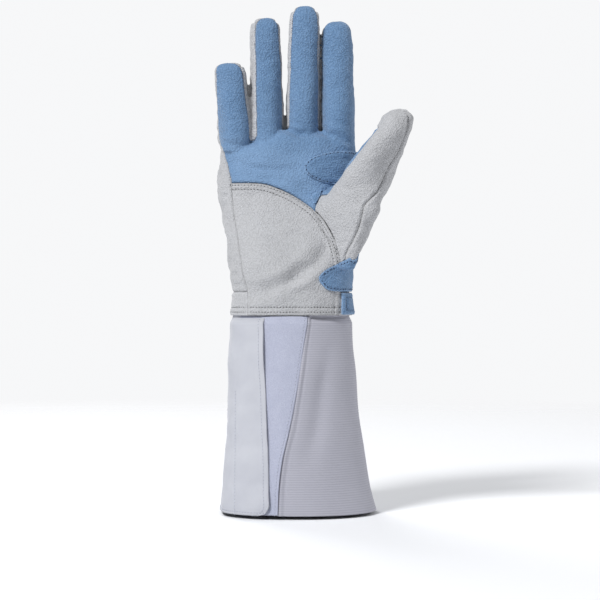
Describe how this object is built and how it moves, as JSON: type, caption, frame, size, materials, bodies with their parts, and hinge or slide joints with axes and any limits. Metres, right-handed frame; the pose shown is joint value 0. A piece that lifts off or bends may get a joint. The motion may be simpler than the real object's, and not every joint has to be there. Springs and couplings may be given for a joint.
{
  "type": "fencing glove",
  "caption": "Right-hand fencing glove in blue and grey suede with a padded back and a long flared cuff closed by a flap.",
  "frame": {"origin": "centre of the arm opening, in the plane of the cuff's rim", "axes": "+X towards the thumb, +Y towards the back of the hand, +Z towards the fingertips"},
  "size_m": [0.1349, 0.1042, 0.35],
  "materials": {
    "blue_suede": "matte nap",
    "grey_suede": "matte nap",
    "plain_cloth": "matte twill",
    "ribbed_elastic": "matte ribs",
    "loop_pile": "fuzzy"
  },
  "bodies": {
    "root": {"palm_panel": "blue_suede", "side_panel": "blue_suede", "wrist_tab": "blue_suede", "thumb_strip": "blue_suede", "heel_patch": "grey_suede", "back_panel": "grey_suede", "wrist_band": "grey_suede", "fourchette_index_middle": "grey_suede", "fourchette_middle_ring": "grey_suede", "fourchette_ring_little": "grey_suede", "thumb_front": "grey_suede", "thumb_back": "grey_suede", "cuff_panel": "plain_cloth", "elastic_panel": "ribbed_elastic", "loop_strip": "loop_pile"}
  },
  "joints": []
}
